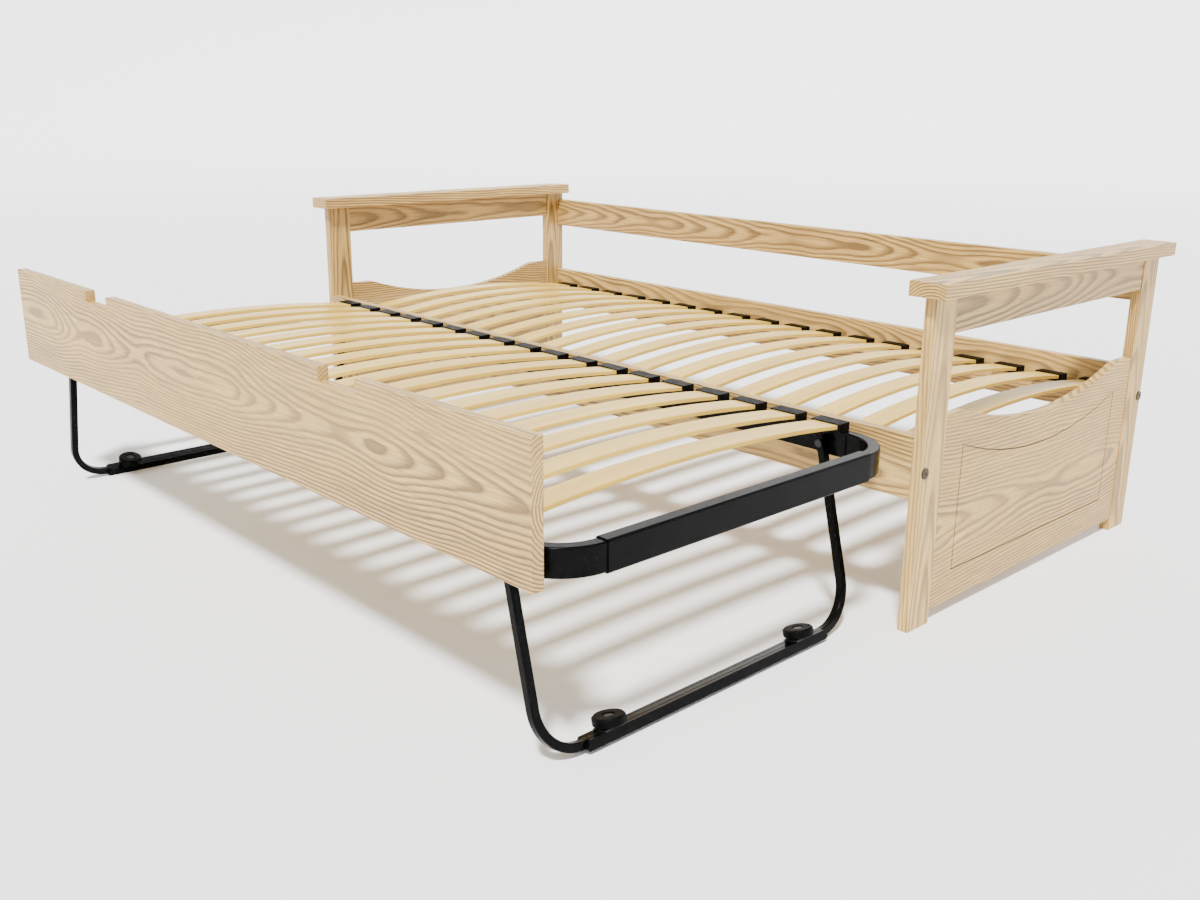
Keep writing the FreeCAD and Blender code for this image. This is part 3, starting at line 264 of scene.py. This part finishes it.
# node: axes of its length, width and thickness, the log's heart across width and thickness,
# which length of the log, width of a ring, and how far the rings wander
BOARDS = {
    "post_front_right": ("ZYX", (0.012, -0.05), 3, 0.0060, 0.012),
    "post_back_right": ("ZYX", (-0.02, -0.06), 8, 0.0058, 0.012),
    "post_front_left": ("ZYX", (0.01, 0.05), 15, 0.0060, 0.012),
    "post_back_left": ("ZYX", (-0.015, 0.05), 21, 0.0062, 0.012),
    "armrest_cap_right": ("YXZ", (0.015, -0.06), 5, 0.0066, 0.015),
    "armrest_cap_left": ("YXZ", (-0.01, -0.05), 12, 0.0066, 0.015),
    "end_top_rail_right": ("YZX", (0.01, -0.06), 7, 0.0060, 0.013),
    "end_top_rail_left": ("YZX", (0.0, 0.06), 17, 0.0060, 0.013),
    "end_panel_right": ("YZX", (-0.03, -0.055), 11, 0.0078, 0.024),
    "end_panel_left": ("YZX", (0.02, -0.06), 19, 0.0078, 0.024),
    "front_rail": ("XZY", (-0.02, 0.05), 23, 0.0064, 0.018),
    "back_lower_rail": ("XZY", (0.015, 0.06), 29, 0.0064, 0.018),
    "back_top_rail": ("XZY", (0.0, 0.055), 31, 0.0062, 0.018),
    "slat_ledger_front": ("XZY", (0.02, 0.06), 37, 0.0050, 0.008),
    "slat_ledger_back": ("XZY", (0.02, -0.06), 41, 0.0050, 0.008),
    "trundle_board": ("XZY", (0.015, 0.05), 2, 0.0068, 0.022),
}

# where an end panel's routed line lies: its depth below the face, and its margins in the panel
ROUTED_DEPTH = 0.0026
ROUTED_HALF_DEPTH = 0.0021
ROUTED_MARGIN = 0.045
ROUTED_TOP = 0.314


def dress(name, material):
    nodes[name].data.materials.clear()
    nodes[name].data.materials.append(material)


def groove_shade_box(name):
    """A box round an end panel's routed line, just below its outer face: its middle and half sizes.

    It stays inside the panel's own edges, which keep the colour of the wood; inside it goes painted shade.
    """
    low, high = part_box(name)
    outer = high[0] if high[0] > 0 else low[0]
    x = outer - math.copysign(ROUTED_DEPTH, outer)
    bottom, top = low[2] + ROUTED_MARGIN, low[2] + ROUTED_TOP
    middle = (x, (low[1] + high[1]) / 2, (bottom + top) / 2)
    return middle, (ROUTED_HALF_DEPTH, (high[1] - low[1]) / 2 - ROUTED_MARGIN, (top - bottom) / 2)


for node, (axes, pith, seed, ring, warp) in BOARDS.items():
    painted_shade_box = groove_shade_box(node) if node.startswith("end_panel") else None
    dress(node, pine(f"pine_{node}", axes, middle_of(node), pith, seed, ring, warp, painted_shade_box))

FINISHES = {
    slat_wood("slat_laminate_bed", 1.3): ["bed_slats"],
    slat_wood("slat_laminate_trundle", 4.1): ["trundle_slats"],
    slat_wood("dowel_beech", 7.7): ["rail_dowels", "end_frame_dowels_right", "end_frame_dowels_left"],
    black_paint("black_gloss_paint"): [
        "trundle_front_tube", "trundle_back_tube", "trundle_end_bar_right", "trundle_end_bar_left",
        "hinge_bracket_front_right", "hinge_bracket_back_right",
        "hinge_bracket_front_left", "hinge_bracket_back_left",
        "leg_tube_right", "leg_tube_left", "foot_channel_right", "foot_channel_left",
    ],
    black_plastic("black_cap_plastic", 0.48, 1400.0, 0.0015): [
        "bed_slat_caps_front", "bed_slat_caps_back", "trundle_slat_caps_front", "trundle_slat_caps_back",
    ],
    black_plastic("black_wheel_plastic", 0.55, 900.0, 0.0012): [
        "wheel_front_right", "wheel_back_right", "wheel_front_left", "wheel_back_left",
    ],
    metal("bronzed_bolt", (0.030, 0.017, 0.006), (0.06, 0.034, 0.012), 0.5, 0.3): ["bed_bolts"],
    metal("black_oxide", (0.012, 0.012, 0.013), (0.04, 0.04, 0.042), 0.38, 0.6): [
        "pivot_pins_right", "pivot_pins_left", "wheel_axles_right", "wheel_axles_left",
    ],
    metal("zinc_plate", (0.55, 0.56, 0.57), (0.70, 0.70, 0.69), 0.35, 1.0): [
        "barrel_nuts", "board_bolts",
    ],
}

for material, names in FINISHES.items():
    for name in names:
        dress(name, material)


# ------------------------------------------------------------------ floor, light and camera

FLOOR_RINGS = (0.5, 2.0, 5.0, 8.0)
FLOOR_RADIUS = 11.0
FLOOR_DROP = 0.0005
SWEEP_RADIUS = 4.0
SWEEP_STEP = 10
WALL_HEIGHT = 12.0
BACKDROP_SIDES = 96


def floor():
    """A pale, even floor that sweeps up into a round backdrop."""
    profile = [(radius, 0.0) for radius in FLOOR_RINGS]
    for angle in range(0, 91, SWEEP_STEP):
        turn = math.radians(angle)
        profile.append((FLOOR_RADIUS + SWEEP_RADIUS * math.sin(turn), SWEEP_RADIUS * (1 - math.cos(turn))))
    profile.append((FLOOR_RADIUS + SWEEP_RADIUS, WALL_HEIGHT))
    points = [(0, 0, -FLOOR_DROP)]
    for radius, height in profile:
        for step in range(BACKDROP_SIDES):
            angle = 2 * math.pi * step / BACKDROP_SIDES
            points.append((radius * math.cos(angle), radius * math.sin(angle), height - FLOOR_DROP))
    faces = [(0, 1 + step, 1 + (step + 1) % BACKDROP_SIDES) for step in range(BACKDROP_SIDES)]
    for row in range(len(profile) - 1):
        inner, outer = 1 + row * BACKDROP_SIDES, 1 + (row + 1) * BACKDROP_SIDES
        for step in range(BACKDROP_SIDES):
            after = (step + 1) % BACKDROP_SIDES
            faces.append((inner + step, outer + step, outer + after, inner + after))
    mesh = bpy.data.meshes.new("floor")
    mesh.from_pydata(points, [], faces)
    mesh.polygons.foreach_set("use_smooth", [True] * len(mesh.polygons))
    ground = bpy.data.objects.new("floor", mesh)
    bpy.context.scene.collection.objects.link(ground)
    shader = Shader("pale_floor")
    tone = shader.noise(shader.position, (0.8, 0.8, 0.8), detail=3.0)
    colour = shader.blend(tone, *FLOOR_TONES)
    mesh.materials.append(shader.finish(colour, 0.75, Specular_IOR_Level=0.2))


SKY_STRENGTH = 0.5
KEY_STRENGTH = 8.4
KEY_SPREAD = math.radians(7)
KEY_DIRECTION = Vector((-0.42, 0.62, -1.15))


def lights():
    """A bright even room, with one soft high light from the front right."""
    world = bpy.data.worlds.new("room")
    bpy.context.scene.world = world
    world.use_nodes = True
    sky = world.node_tree.nodes["Background"]
    sky.inputs["Color"].default_value = (1, 1, 1, 1)
    sky.inputs["Strength"].default_value = SKY_STRENGTH
    key = bpy.data.objects.new("key_light", bpy.data.lights.new("key_light", "SUN"))
    key.data.energy = KEY_STRENGTH
    key.data.angle = KEY_SPREAD
    key.rotation_mode = "QUATERNION"
    key.rotation_quaternion = KEY_DIRECTION.to_track_quat("-Z", "Y")
    bpy.context.scene.collection.objects.link(key)


CAMERA_PLACE = Vector((2.0658, -1.8008, 0.9494))
CAMERA_YAW, CAMERA_PITCH, CAMERA_ROLL = (math.radians(angle) for angle in (46.856, -16.779, 0.563))
CAMERA_LENS = 36.14
CAMERA_SENSOR = 36.0


def camera():
    """The view that the photograph was taken from."""
    level = Vector((-math.sin(CAMERA_YAW), math.cos(CAMERA_YAW), 0))
    ahead = level * math.cos(CAMERA_PITCH) + Vector((0, 0, math.sin(CAMERA_PITCH)))
    right = Vector((math.cos(CAMERA_YAW), math.sin(CAMERA_YAW), 0))
    up = right.cross(ahead)
    side = right * math.cos(CAMERA_ROLL) + up * math.sin(CAMERA_ROLL)
    top = up * math.cos(CAMERA_ROLL) - right * math.sin(CAMERA_ROLL)
    lens = bpy.data.cameras.new("camera")
    lens.lens = CAMERA_LENS
    lens.sensor_width = CAMERA_SENSOR
    lens.dof.use_dof = False
    viewer = bpy.data.objects.new("camera", lens)
    turned = Matrix((side, top, -ahead)).transposed().to_4x4()
    viewer.matrix_world = Matrix.Translation(CAMERA_PLACE) @ turned
    bpy.context.scene.collection.objects.link(viewer)
    bpy.context.scene.camera = viewer


floor()
lights()
camera()
